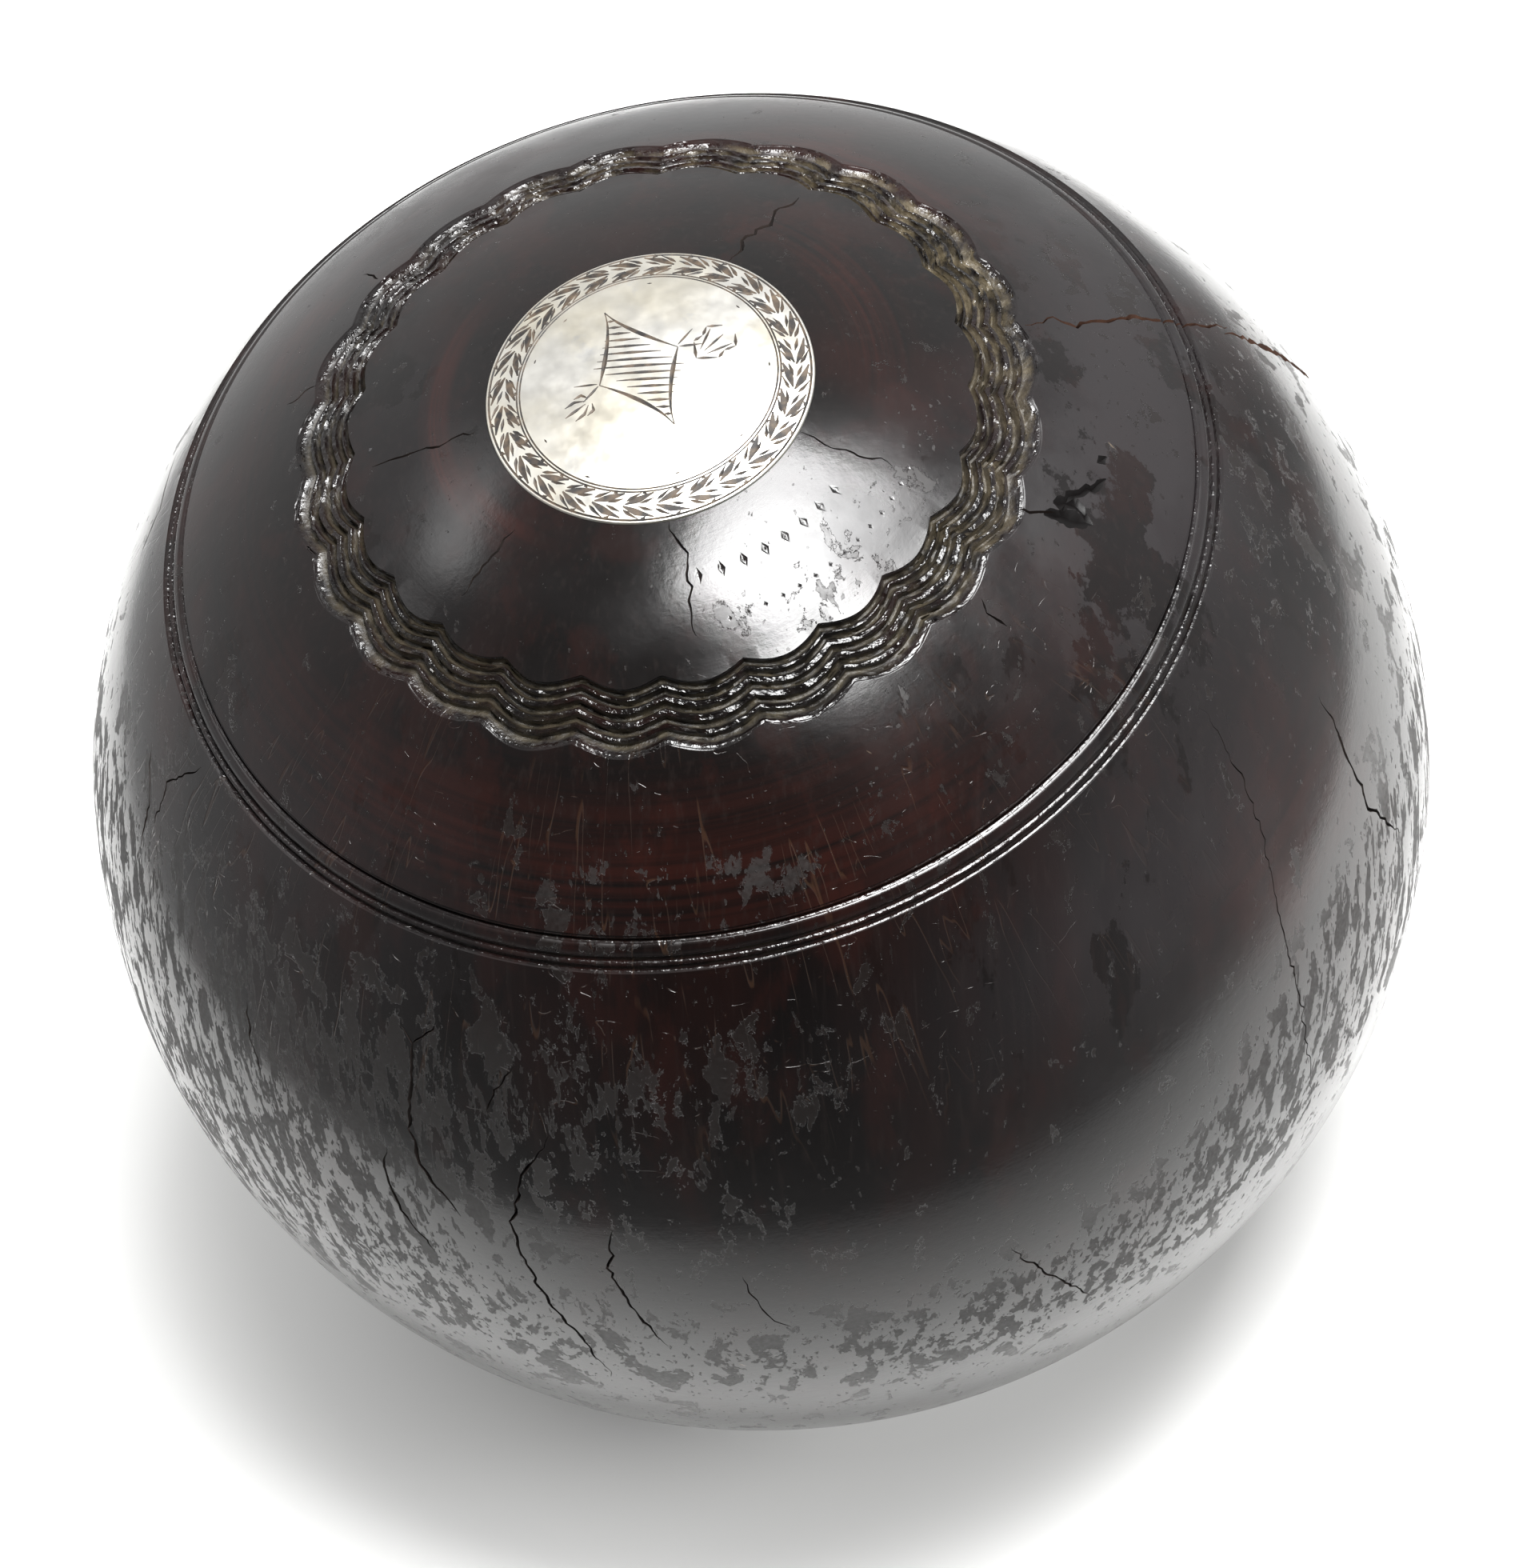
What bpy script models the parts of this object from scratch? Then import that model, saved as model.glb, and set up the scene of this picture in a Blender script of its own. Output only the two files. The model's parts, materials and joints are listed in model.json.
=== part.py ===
"""Lawn bowl: a turned lignum vitae wood with a silver disc let into each side.

The bowl lies on its bias side: +Z runs from the small disc, at the origin, to the
large engraved disc, and the running surface goes round Z. All sizes are in metres.
"""

import math
from collections import namedtuple

import bmesh
import bpy
from mathutils import Matrix, Vector

# Driving dimensions of the turned wood
BOWL_RADIUS = 0.0635            # a 5 inch bowl, across its running surface
SEGMENTS = 72                   # facets round the axis, three for each scallop
SCALLOPS = 24
SCALLOP_DEPTH = 0.0010          # how far each lobe swells outwards from its cusps
SCALLOP_FADE = 0.0030           # how far beside the band the scallops die away
GROOVE_DEPTH = 0.0011           # the carved grooves of the band
RIB_DROP = 0.0004               # how far the ribs' crests lie below the edges
BAND_GROOVES = 5
RING_INNER = 0.7364 * BOWL_RADIUS    # the turned double ring, measured from the axis
RING_OUTER = 0.7745 * BOWL_RADIUS
RING_DEPTH = 0.0007
INNER_DOME_ROWS = 3             # facets from a disc's edge out to the band
OUTER_CAP_ROWS = 4              # and from the band out to the ring
RUNNING_ROWS = 12               # and from ring to ring
DISC_ROWS = 4                   # and across a domed disc

# The silver discs and what holds them
PLATE_THICKNESS = 0.0010
PLATE_CHAMFER = 0.00025
PLATE_PROUD = 0.00015           # how far a disc's face stands above the wood
CEMENT_THICKNESS = 0.0005
CLEARANCE = 0.0003              # between pieces that touch
PIN_RADIUS = 0.0008
PIN_LENGTH = 0.0065
PIN_POINT = 0.0012
PIN_SEGMENTS = 12
CENTRE_HOLE_RADIUS = 0.0025     # the lathe's centre leaves a 60 degree cone
CENTRE_HOLE_DEPTH = CENTRE_HOLE_RADIUS / math.tan(math.radians(60 / 2))
RECESS_DEPTH = PLATE_THICKNESS + CEMENT_THICKNESS + 2 * CLEARANCE - PLATE_PROUD

# One side of the bowl. Each edge is (distance from the axis, height above the
# bowl's middle), and the surface between two edges is an arc centred on the axis.
# A domed disc carries on the arc of the wood round it, and the other is flat.
Side = namedtuple("Side", "disc_edge band_inner band_outer domed pin_circle pin_count")
OPEN_SIDE = Side(
    disc_edge=(0.2359 * BOWL_RADIUS, 0.9535 * BOWL_RADIUS),
    band_inner=(0.4481 * BOWL_RADIUS, 0.8725 * BOWL_RADIUS),
    band_outer=(0.5351 * BOWL_RADIUS, 0.8275 * BOWL_RADIUS),
    domed=True,
    pin_circle=0.0090,
    pin_count=3,
)
BIAS_SIDE = Side(
    disc_edge=(0.185 * BOWL_RADIUS, 0.9426 * BOWL_RADIUS),
    band_inner=(0.390 * BOWL_RADIUS, 0.8857 * BOWL_RADIUS),
    band_outer=(0.490 * BOWL_RADIUS, 0.8410 * BOWL_RADIUS),
    domed=False,
    pin_circle=0.0070,
    pin_count=2,
)
SHOULDER = (RING_OUTER, math.sqrt(BOWL_RADIUS**2 - RING_OUTER**2))
MIDDLE = BIAS_SIDE.disc_edge[1] + PLATE_PROUD     # height of the bowl's middle


def clear_scene():
    for obj in list(bpy.data.objects):
        bpy.data.objects.remove(obj)


def make_material(name, colour, roughness, metallic=0.0):
    material = bpy.data.materials.new(name)
    material.use_nodes = True
    shader = material.node_tree.nodes["Principled BSDF"]
    shader.inputs["Base Color"].default_value = (*colour, 1.0)
    shader.inputs["Roughness"].default_value = roughness
    shader.inputs["Metallic"].default_value = metallic
    return material


def add_object(name, bm, material, parent=None):
    """Turns a bmesh into a named object with outward faces."""
    bmesh.ops.recalc_face_normals(bm, faces=bm.faces)
    mesh = bpy.data.meshes.new(name)
    bm.to_mesh(mesh)
    bm.free()
    mesh.shade_smooth()
    mesh.set_sharp_from_angle(angle=math.radians(30))
    mesh.materials.append(material)
    obj = bpy.data.objects.new(name, mesh)
    bpy.context.collection.objects.link(obj)
    obj.parent = parent
    return obj


def add_empty(name, location, upside_down=False):
    """A frame for one side's pieces, whose +Z points out of that side."""
    empty = bpy.data.objects.new(name, None)
    bpy.context.collection.objects.link(empty)
    empty.location = location
    empty.rotation_euler = (math.pi if upside_down else 0.0, 0.0, 0.0)
    return empty


def turn(profile, segments):
    """Spins a profile of (distance from axis, height) points round Z."""
    bm = bmesh.new()
    points = [bm.verts.new((radius, 0.0, height)) for radius, height in profile]
    edges = [bm.edges.new(pair) for pair in zip(points, points[1:])]
    bmesh.ops.spin(
        bm,
        geom=points + edges,
        cent=(0, 0, 0),
        axis=(0, 0, 1),
        angle=math.tau,
        steps=segments,
        use_merge=True,
    )
    bmesh.ops.remove_doubles(bm, verts=bm.verts, dist=1e-6)
    return bm


def arc_height(radius, inner, outer):
    """Height at radius on the arc, centred on the axis, through both edges."""
    inner_sq = inner[0] ** 2 + inner[1] ** 2
    outer_sq = outer[0] ** 2 + outer[1] ** 2
    centre = (inner_sq - outer_sq) / (2 * (inner[1] - outer[1]))
    arc_sq = inner[0] ** 2 + (inner[1] - centre) ** 2
    return centre + math.sqrt(arc_sq - radius**2)


def surface_height(side, radius):
    """Height of one side's uncarved surface above the bowl's middle."""
    if radius < side.band_inner[0]:
        return arc_height(radius, side.disc_edge, side.band_inner)
    if radius < side.band_outer[0]:
        return arc_height(radius, side.band_inner, side.band_outer)
    return arc_height(radius, side.band_outer, SHOULDER)


def steps(start, stop, count):
    """Evenly spaced values from start up to, but not including, stop."""
    return [start + (stop - start) * i / count for i in range(count)]


def band_rows(side):
    """The carved band: grooves with a rib between each two, as (radius, depth)."""
    inner, outer = side.band_inner[0], side.band_outer[0]
    radii = steps(inner, outer, 2 * BAND_GROOVES)
    rows = [(inner, 0.0)]
    for index, radius in enumerate(radii[1:], start=1):
        rows.append((radius, GROOVE_DEPTH if index % 2 else RIB_DROP))
    return rows + [(outer, 0.0)]


def ring_rows():
    """The turned double ring: a broad bead and a thin one between three grooves."""
    width = RING_OUTER - RING_INNER
    shares = [(0.0, 0.0), (0.10, 1.0), (0.20, 0.3), (0.38, 0.0), (0.56, 0.3),
              (0.66, 1.0), (0.77, 0.2), (0.88, 1.0)]
    return [(RING_INNER + at * width, depth * RING_DEPTH) for at, depth in shares]


def side_profile(side):
    """One side's outline, from its disc's edge to the shoulder, above the middle."""
    rows = [(r, 0.0) for r in steps(side.disc_edge[0], side.band_inner[0], INNER_DOME_ROWS)]
    rows += band_rows(side)
    rows += [(r, 0.0) for r in steps(side.band_outer[0], RING_INNER, OUTER_CAP_ROWS)[1:]]
    rows += ring_rows()
    return [(radius, surface_height(side, radius) - depth) for radius, depth in rows]


def crown(side, radius):
    """How far a disc's face at radius stands above its own edge."""
    if not side.domed:
        return 0.0
    radius = min(radius, side.disc_edge[0])
    return arc_height(radius, side.disc_edge, side.band_inner) - side.disc_edge[1]


def layer(side, start, stop, height):
    """A surface parallel to a disc's face, from one radius to another, as a profile."""
    rows = DISC_ROWS if side.domed else 1
    radii = steps(start, stop, rows) + [stop]
    return [(radius, height + crown(side, radius)) for radius in radii]


def slab(side, face, thickness):
    """The closed profile of a disc-shaped layer, down from its face."""
    edge = side.disc_edge[0]
    return layer(side, 0.0, edge, face) + layer(side, edge, 0.0, face - thickness)


def recess_profile(side):
    """The disc's seat and the lathe-centre hole under it, from the axis out."""
    floor = side.disc_edge[1] - RECESS_DEPTH
    hole = CENTRE_HOLE_RADIUS
    seat = layer(side, hole, side.disc_edge[0] + CLEARANCE, floor)
    return [(0.0, seat[0][1] - CENTRE_HOLE_DEPTH)] + seat


def body_profile():
    """The whole outline, down from the open side's hole to the bias side's."""
    def half(side):
        outline = side_profile(side)
        outline[0] = (side.disc_edge[0] + CLEARANCE, outline[0][1])
        return recess_profile(side) + outline

    first = math.asin(RING_OUTER / BOWL_RADIUS)
    angles = steps(first, math.pi - first, RUNNING_ROWS) + [math.pi - first]
    running = [(BOWL_RADIUS * math.sin(a), BOWL_RADIUS * math.cos(a)) for a in angles]
    below = [(radius, -height) for radius, height in reversed(half(BIAS_SIDE))]
    return half(OPEN_SIDE) + running + below


def carve_scallops(bm):
    """Slides the bands' rows along the surface, so their grooves follow 24 lobes."""
    for vert in bm.verts:
        side = OPEN_SIDE if vert.co.z > 0 else BIAS_SIDE
        radius = math.hypot(vert.co.x, vert.co.y)
        outside = max(side.band_inner[0] - radius, radius - side.band_outer[0], 0.0)
        share = 1 - min(outside / SCALLOP_FADE, 1.0)
        if share == 0:
            continue
        angle = math.atan2(vert.co.y, vert.co.x)
        lobe = abs(math.sin(SCALLOPS * angle / 2)) - 0.5
        moved = radius + SCALLOP_DEPTH * lobe * share
        drop = surface_height(side, radius) - surface_height(side, moved)
        vert.co.z -= math.copysign(drop, vert.co.z)
        vert.co.x *= moved / radius
        vert.co.y *= moved / radius


def pin_places(side):
    """Where each pin meets the back of its disc."""
    back = crown(side, side.pin_circle) - PLATE_THICKNESS
    for index in range(side.pin_count):
        angle = math.tau * index / side.pin_count
        flat = Vector((math.cos(angle), math.sin(angle), 0.0)) * side.pin_circle
        yield flat + Vector((0, 0, back))


def drill(target, parent, side, name, length):
    """Cuts one side's pin holes, down from its disc's back, through target."""
    bm = bmesh.new()
    for place in pin_places(side):
        bmesh.ops.create_cone(
            bm,
            cap_ends=True,
            segments=PIN_SEGMENTS,
            radius1=PIN_RADIUS + CLEARANCE,
            radius2=PIN_RADIUS + CLEARANCE,
            depth=length,
            matrix=Matrix.Translation(place - Vector((0, 0, length / 2))),
        )
    cutter = add_object(name, bm, target.data.materials[0], parent)
    cutter.hide_render = True
    cutter.display_type = "WIRE"
    cut = target.modifiers.new(name, "BOOLEAN")
    cut.operation = "DIFFERENCE"
    cut.object = cutter


def make_body(material, open_frame, bias_frame):
    bm = turn(body_profile(), SEGMENTS)
    carve_scallops(bm)
    body = add_object("bowl_body", bm, material)
    body.location = (0, 0, MIDDLE)
    drill(body, open_frame, OPEN_SIDE, "open_side_drill", PIN_LENGTH + 3 * CLEARANCE)
    drill(body, bias_frame, BIAS_SIDE, "bias_side_drill", PIN_LENGTH + 3 * CLEARANCE)


def make_plate(name, side, material, parent):
    """A disc whose face's edge is level with the frame's origin, with a chamfered rim."""
    profile = slab(side, 0.0, PLATE_THICKNESS)
    face = profile.index((side.disc_edge[0], 0.0))
    rim = [(side.disc_edge[0] - PLATE_CHAMFER, 0.0), (side.disc_edge[0], -PLATE_CHAMFER)]
    profile[face:face + 1] = rim
    add_object(name, turn(profile, SEGMENTS), material, parent)


def make_cement(name, side, material, parent):
    """The set bed between a disc and the floor of its recess, pierced for the pins."""
    profile = slab(side, -PLATE_THICKNESS - CLEARANCE, CEMENT_THICKNESS)
    bed = add_object(name, turn(profile, SEGMENTS // 2), material, parent)
    drill(bed, parent, side, name + "_drill", 3 * CEMENT_THICKNESS)


def make_pins(name, side, material, parent):
    """Pointed pins that stand off the back of a disc, on a circle round its middle."""
    tip = -PIN_LENGTH
    profile = [(0.0, 0.0), (PIN_RADIUS, 0.0), (PIN_RADIUS, tip + PIN_POINT), (0.0, tip)]
    for number, place in enumerate(pin_places(side), start=1):
        pin = add_object(f"{name}_{number}", turn(profile, PIN_SEGMENTS), material, parent)
        pin.location = place - Vector((0, 0, 2 * CLEARANCE))


def main():
    clear_scene()
    wood = make_material("lignum_vitae", (0.030, 0.019, 0.016), 0.25)
    silver = make_material("silver", (0.86, 0.82, 0.74), 0.28, 1.0)
    cement = make_material("shellac_cement", (0.10, 0.045, 0.02), 0.5)
    top = MIDDLE + OPEN_SIDE.disc_edge[1] + PLATE_PROUD
    open_frame = add_empty("open_side", (0, 0, top))
    bias_frame = add_empty("bias_side", (0, 0, 0), upside_down=True)
    make_body(wood, open_frame, bias_frame)
    for size, side, frame in (
        ("large", OPEN_SIDE, open_frame),
        ("small", BIAS_SIDE, bias_frame),
    ):
        make_plate(f"{size}_disc", side, silver, frame)
        make_cement(f"{size}_disc_cement", side, cement, frame)
        make_pins(f"{size}_disc_pin", side, silver, frame)


main()
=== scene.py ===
"""Lawn bowl: the finished look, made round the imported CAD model.

The turned wood and both silver discs are replaced by fine meshes that carry the carving,
the cracks and the engraving. Lengths are in metres and angles in degrees unless a name
says otherwise. Azimuth runs anticlockwise from +X, seen from above, and colatitude runs
down from +Z, both at the bowl's middle.
"""

import json
import math
from collections import namedtuple

import bmesh
import bpy
import numpy as np
from mathutils import Matrix, Quaternion, Vector, noise

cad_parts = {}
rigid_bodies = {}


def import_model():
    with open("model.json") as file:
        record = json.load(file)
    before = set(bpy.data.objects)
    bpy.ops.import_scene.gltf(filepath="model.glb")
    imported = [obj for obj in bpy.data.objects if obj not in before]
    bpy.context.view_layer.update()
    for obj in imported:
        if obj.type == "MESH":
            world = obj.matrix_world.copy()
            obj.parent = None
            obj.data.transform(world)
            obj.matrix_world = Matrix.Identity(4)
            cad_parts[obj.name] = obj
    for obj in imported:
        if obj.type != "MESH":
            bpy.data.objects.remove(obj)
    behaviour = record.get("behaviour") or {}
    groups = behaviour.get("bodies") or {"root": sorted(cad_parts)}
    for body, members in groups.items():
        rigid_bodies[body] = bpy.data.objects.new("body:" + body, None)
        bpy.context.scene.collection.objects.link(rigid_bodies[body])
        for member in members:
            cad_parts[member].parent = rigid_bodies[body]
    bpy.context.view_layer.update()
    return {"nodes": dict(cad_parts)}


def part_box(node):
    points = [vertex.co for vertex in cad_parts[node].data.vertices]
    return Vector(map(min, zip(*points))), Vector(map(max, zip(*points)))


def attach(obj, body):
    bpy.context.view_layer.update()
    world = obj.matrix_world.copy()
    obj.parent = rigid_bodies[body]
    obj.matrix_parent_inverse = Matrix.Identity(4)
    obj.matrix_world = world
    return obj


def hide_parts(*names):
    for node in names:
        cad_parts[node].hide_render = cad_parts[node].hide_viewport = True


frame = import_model()

MM = 0.001
BODY_LOW, BODY_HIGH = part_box("bowl_body")
RADIUS = (BODY_HIGH.x - BODY_LOW.x) / 2
PLATE_PROUD = BODY_LOW.z            # how far a disc's rim stands above the wood
PLATE_THICKNESS = 1.0 * MM
PLATE_CHAMFER = 0.10 * MM
SEAT_GAP = 0.04 * MM                # between a disc and the wood that grips it
PIN_GAP = 0.3 * MM
SEAT_DEPTH = 1.95 * MM              # of a disc's recess, below the wood at its edge
HOLE_RADIUS = 2.5 * MM              # of the lathe-centre hole, a cone of 60 degrees
HOLE_DEPTH = HOLE_RADIUS * math.sqrt(3)

# One side of the bowl. An edge is (distance from the axis, height above the middle),
# and the surface between two edges is an arc centred on the axis, as in the CAD model.
Side = namedtuple("Side", "up disc_edge band_inner band_outer domed seed")
OPEN_SIDE = Side(
    up=1,
    disc_edge=(0.2359 * RADIUS, 0.9535 * RADIUS),
    band_inner=(0.4481 * RADIUS, 0.8725 * RADIUS),
    band_outer=(0.5351 * RADIUS, 0.8275 * RADIUS),
    domed=True,
    seed=0.0,
)
BIAS_SIDE = Side(
    up=-1,
    disc_edge=(0.185 * RADIUS, 0.9426 * RADIUS),
    band_inner=(0.390 * RADIUS, 0.8857 * RADIUS),
    band_outer=(0.490 * RADIUS, 0.8410 * RADIUS),
    domed=False,
    seed=40.0,
)
RING_INNER = 0.7364 * RADIUS
RING_OUTER = 0.7745 * RADIUS
SHOULDER = (RING_OUTER, math.sqrt(RADIUS**2 - RING_OUTER**2))
MIDDLE = BIAS_SIDE.disc_edge[1] + PLATE_PROUD

# The carving
SCALLOPS = 24
SCALLOP_DEPTH = 1.0 * MM
SCALLOP_FADE = 3.0 * MM
BAND_CUTS = (   # share of the band's width, depth in mm: five grooves between four ribs
    (0.00, 0.00), (0.02, 0.30), (0.05, 0.90), (0.09, 0.95), (0.12, 0.45), (0.135, 0.28),
    (0.165, 0.30), (0.185, 0.50), (0.21, 1.05), (0.25, 1.05), (0.275, 0.45), (0.29, 0.26),
    (0.355, 0.28), (0.375, 0.50), (0.40, 1.12), (0.445, 1.12), (0.475, 0.45), (0.49, 0.26),
    (0.565, 0.30), (0.585, 0.50), (0.61, 1.12), (0.66, 1.10), (0.69, 0.45), (0.705, 0.28),
    (0.755, 0.32), (0.775, 0.55), (0.80, 0.95), (0.84, 0.90), (0.90, 0.50), (0.96, 0.16),
    (1.00, 0.00),
)
RING_CUTS = (   # share of the ring's width, depth in mm: a broad bead and a thin one
    (0.00, 0.00), (0.03, 0.18), (0.07, 0.12), (0.10, 0.60), (0.14, 0.62), (0.18, 0.25),
    (0.24, 0.06), (0.32, 0.00), (0.42, 0.00), (0.52, 0.08), (0.58, 0.25), (0.62, 0.60),
    (0.67, 0.62), (0.71, 0.25), (0.76, 0.14), (0.81, 0.22), (0.86, 0.58), (0.91, 0.60),
    (0.96, 0.15), (1.00, 0.00),
)

# How finely each stretch of the wood is divided: facets round the axis, and rows
FINE, MEDIUM = 480, 240
DOME_ROWS, CAP_ROWS, RUNNING_ROWS = 8, 10, 54
WIDEST_SHARE = 0.028        # a stretch of the band wider than this gets a row in its middle
CRACK_STEP = 0.6 * MM
RAW_WOOD_DEPTH = 1.0        # mm; a crack deeper than this shows raw wood


# ---------------------------------------------------------------- turned surfaces

def arc(inner, outer):
    """Height of the centre of the arc through two edges, and its radius."""
    inner_sq = inner[0] ** 2 + inner[1] ** 2
    outer_sq = outer[0] ** 2 + outer[1] ** 2
    centre = (inner_sq - outer_sq) / (2 * (inner[1] - outer[1]))
    return centre, math.hypot(inner[0], inner[1] - centre)


def arcs(side, radius):
    """Centre heights and radii of the arcs that the uncarved surface follows."""
    inside = radius < side.band_inner[0]
    outside = radius >= side.band_outer[0]
    dome = arc(side.disc_edge, side.band_inner)
    band = arc(side.band_inner, side.band_outer)
    cap = arc(side.band_outer, SHOULDER)
    return [np.where(inside, d, np.where(outside, c, b)) for d, b, c in zip(dome, band, cap)]


def surface_height(side, radius):
    centre, reach = arcs(side, radius)
    return centre + np.sqrt(reach**2 - radius**2)


def face_height(side, radius):
    """Height of a disc's face above the bowl's middle."""
    face = surface_height(side, radius) if side.domed else side.disc_edge[1]
    return float(face) + PLATE_PROUD


def ring_angles(count):
    return np.arange(count) * (math.tau / count)


def ripple(angles, level, scale):
    """Smooth noise round a ring, between about -0.5 and 0.5, for each angle in radians."""
    return np.array([
        noise.noise(Vector((math.cos(a) * scale, math.sin(a) * scale, level)))
        for a in angles
    ])


def lobes(angles, seed):
    """The scallops' wave: pointed inwards at each cusp, round outwards, cut by eye."""
    wander = angles + 0.010 * ripple(angles, seed + 3, 5)
    height = np.abs(np.sin(SCALLOPS * wander / 2))
    return height * (1 + 0.3 * ripple(angles, seed + 7, 4)) - 0.5


def slide(side, radius, angles):
    """Radii after the scallops have moved a ring in and out along the surface."""
    outside = max(side.band_inner[0] - radius, radius - side.band_outer[0], 0.0)
    share = max(1 - outside / SCALLOP_FADE, 0.0)
    return radius + SCALLOP_DEPTH * share * lobes(angles, side.seed)


def worn(angles):
    """How battered the carving is round the bowl: most on the far right."""
    return 0.35 + 0.65 * (0.5 + 0.5 * np.cos(angles - math.radians(45)))


def band_depth(side, share, angles):
    """Depth of the band's carving, uneven as handwork is, with chips in its ribs."""
    wander = 0.010 * ripple(angles, side.seed + 2 * share, 9) * (0 < share < 1)
    depth = np.interp(np.clip(share + wander, 0, 1), *np.array(BAND_CUTS).T)
    depth *= 1 + 0.25 * ripple(angles, side.seed + 20 + 3 * share, 14)
    chips = ripple(angles, side.seed + 25 * share, 40) - 0.20
    nicks = ripple(angles, side.seed + 60 * share, 110)
    inside = min(share, 1 - share) > 0.02
    depth += inside * worn(angles) * (1.8 * np.maximum(chips, 0) + 0.08 * nicks)
    return np.maximum(depth, 0) * MM


def to_ring(radii, heights, angles, depths, up):
    """Points at each angle, sunk towards the bowl's middle, on the upper or lower side."""
    points = np.stack([radii * np.cos(angles), radii * np.sin(angles), heights * up], -1)
    points *= (1 - depths / np.linalg.norm(points, axis=1))[:, None]
    return points + [0, 0, MIDDLE]


def level_ring(radius, height, count, up):
    """An even ring of points at one height above or below the bowl's middle."""
    flat, level = np.full(count, float(radius)), np.full(count, float(height))
    return to_ring(flat, level, ring_angles(count), np.zeros(count), up)


def side_rings(side):
    """One side of the wood from its disc's seat to the shoulder, as rings of points."""
    rings = []

    def add(radius, count, depth=None):
        angles = ring_angles(count)
        radii = slide(side, radius, angles)
        depths = np.zeros(count) if depth is None else depth(angles)
        heights = surface_height(side, radii)
        rings.append(to_ring(radii, heights, angles, depths, side.up))

    wall = side.disc_edge[0] + SEAT_GAP
    for radius in np.linspace(wall, side.band_inner[0], DOME_ROWS, endpoint=False):
        add(radius, MEDIUM)
    width = side.band_outer[0] - side.band_inner[0]
    shares = [share for share, _ in BAND_CUTS]
    between = [(a + b) / 2 for a, b in zip(shares, shares[1:]) if b - a > WIDEST_SHARE]
    for share in sorted(shares + between):
        add(side.band_inner[0] + share * width, FINE,
            lambda angles, share=share: band_depth(side, share, angles))
    for radius in np.linspace(side.band_outer[0], RING_INNER, CAP_ROWS)[1:-1]:
        add(radius, MEDIUM)
    for share, depth in RING_CUTS:
        radius = RING_INNER + share * (RING_OUTER - RING_INNER)
        add(radius, MEDIUM, lambda angles, depth=depth:
            depth * MM * (1 + 0.25 * ripple(angles, side.seed + 90, 12)))
    return rings


def seat_rings(side):
    """The floor of a disc's recess, from the lathe-centre hole under it outwards."""
    rings = []
    for radius in np.linspace(HOLE_RADIUS, side.disc_edge[0] + SEAT_GAP, 5):
        height = face_height(side, radius) - PLATE_PROUD - SEAT_DEPTH
        rings.append(level_ring(radius, height, MEDIUM, side.up))
    return rings


def running_rings():
    """The running surface between the shoulders, very slightly uneven."""
    first = math.asin(RING_OUTER / RADIUS)
    rings = []
    angles = ring_angles(MEDIUM)
    for colatitude in np.linspace(first, math.pi - first, RUNNING_ROWS)[1:-1]:
        radii = np.full(MEDIUM, RADIUS * math.sin(colatitude))
        heights = np.full(MEDIUM, RADIUS * math.cos(colatitude))
        dents = 0.06 * MM * (0.5 + ripple(angles, 3 * math.cos(colatitude) + 60, 2.2))
        rings.append(to_ring(radii, heights, angles, dents, 1))
    return rings


def skin(name, rings, first_tip, last_tip):
    """A closed mesh over rings, whose counts are equal or differ by a factor of two."""
    starts = np.cumsum([0] + [len(ring) for ring in rings])
    faces = []
    for index, (first, second) in enumerate(zip(rings, rings[1:])):
        here, there = starts[index], starts[index + 1]
        turned = len(first) > len(second)
        small, large = (second, first) if turned else (first, second)
        low, high = (there, here) if turned else (here, there)
        ratio = len(large) // len(small)
        for i in range(len(small)):
            after = (i + 1) % len(small)
            fan = [high + (ratio * i + k) % len(large) for k in range(ratio + 1)]
            if ratio == 1:
                made = [(low + i, fan[0], fan[1], low + after)]
            else:
                made = [(low + i, fan[0], fan[1]), (low + i, fan[1], low + after),
                        (low + after, fan[1], fan[2])]
            faces += [face[::-1] if turned else face for face in made]
    points = [point for ring in rings for point in ring]
    for start, ring, tip, order in ((0, rings[0], first_tip, 1),
                                    (starts[-2], rings[-1], last_tip, -1)):
        around = [start + i for i in range(len(ring))]
        faces += [(len(points), a, b)[::order] for a, b in zip(around, around[1:] + around[:1])]
        points.append(tip)
    mesh = bpy.data.meshes.new(name)
    mesh.from_pydata(points, [], faces)
    mesh.update()
    return mesh


def make_object(name, mesh, *materials):
    obj = bpy.data.objects.new(name, mesh)
    bpy.context.scene.collection.objects.link(obj)
    for material in materials:
        mesh.materials.append(material)
    return obj


# ---------------------------------------------------------------- cuts

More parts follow.
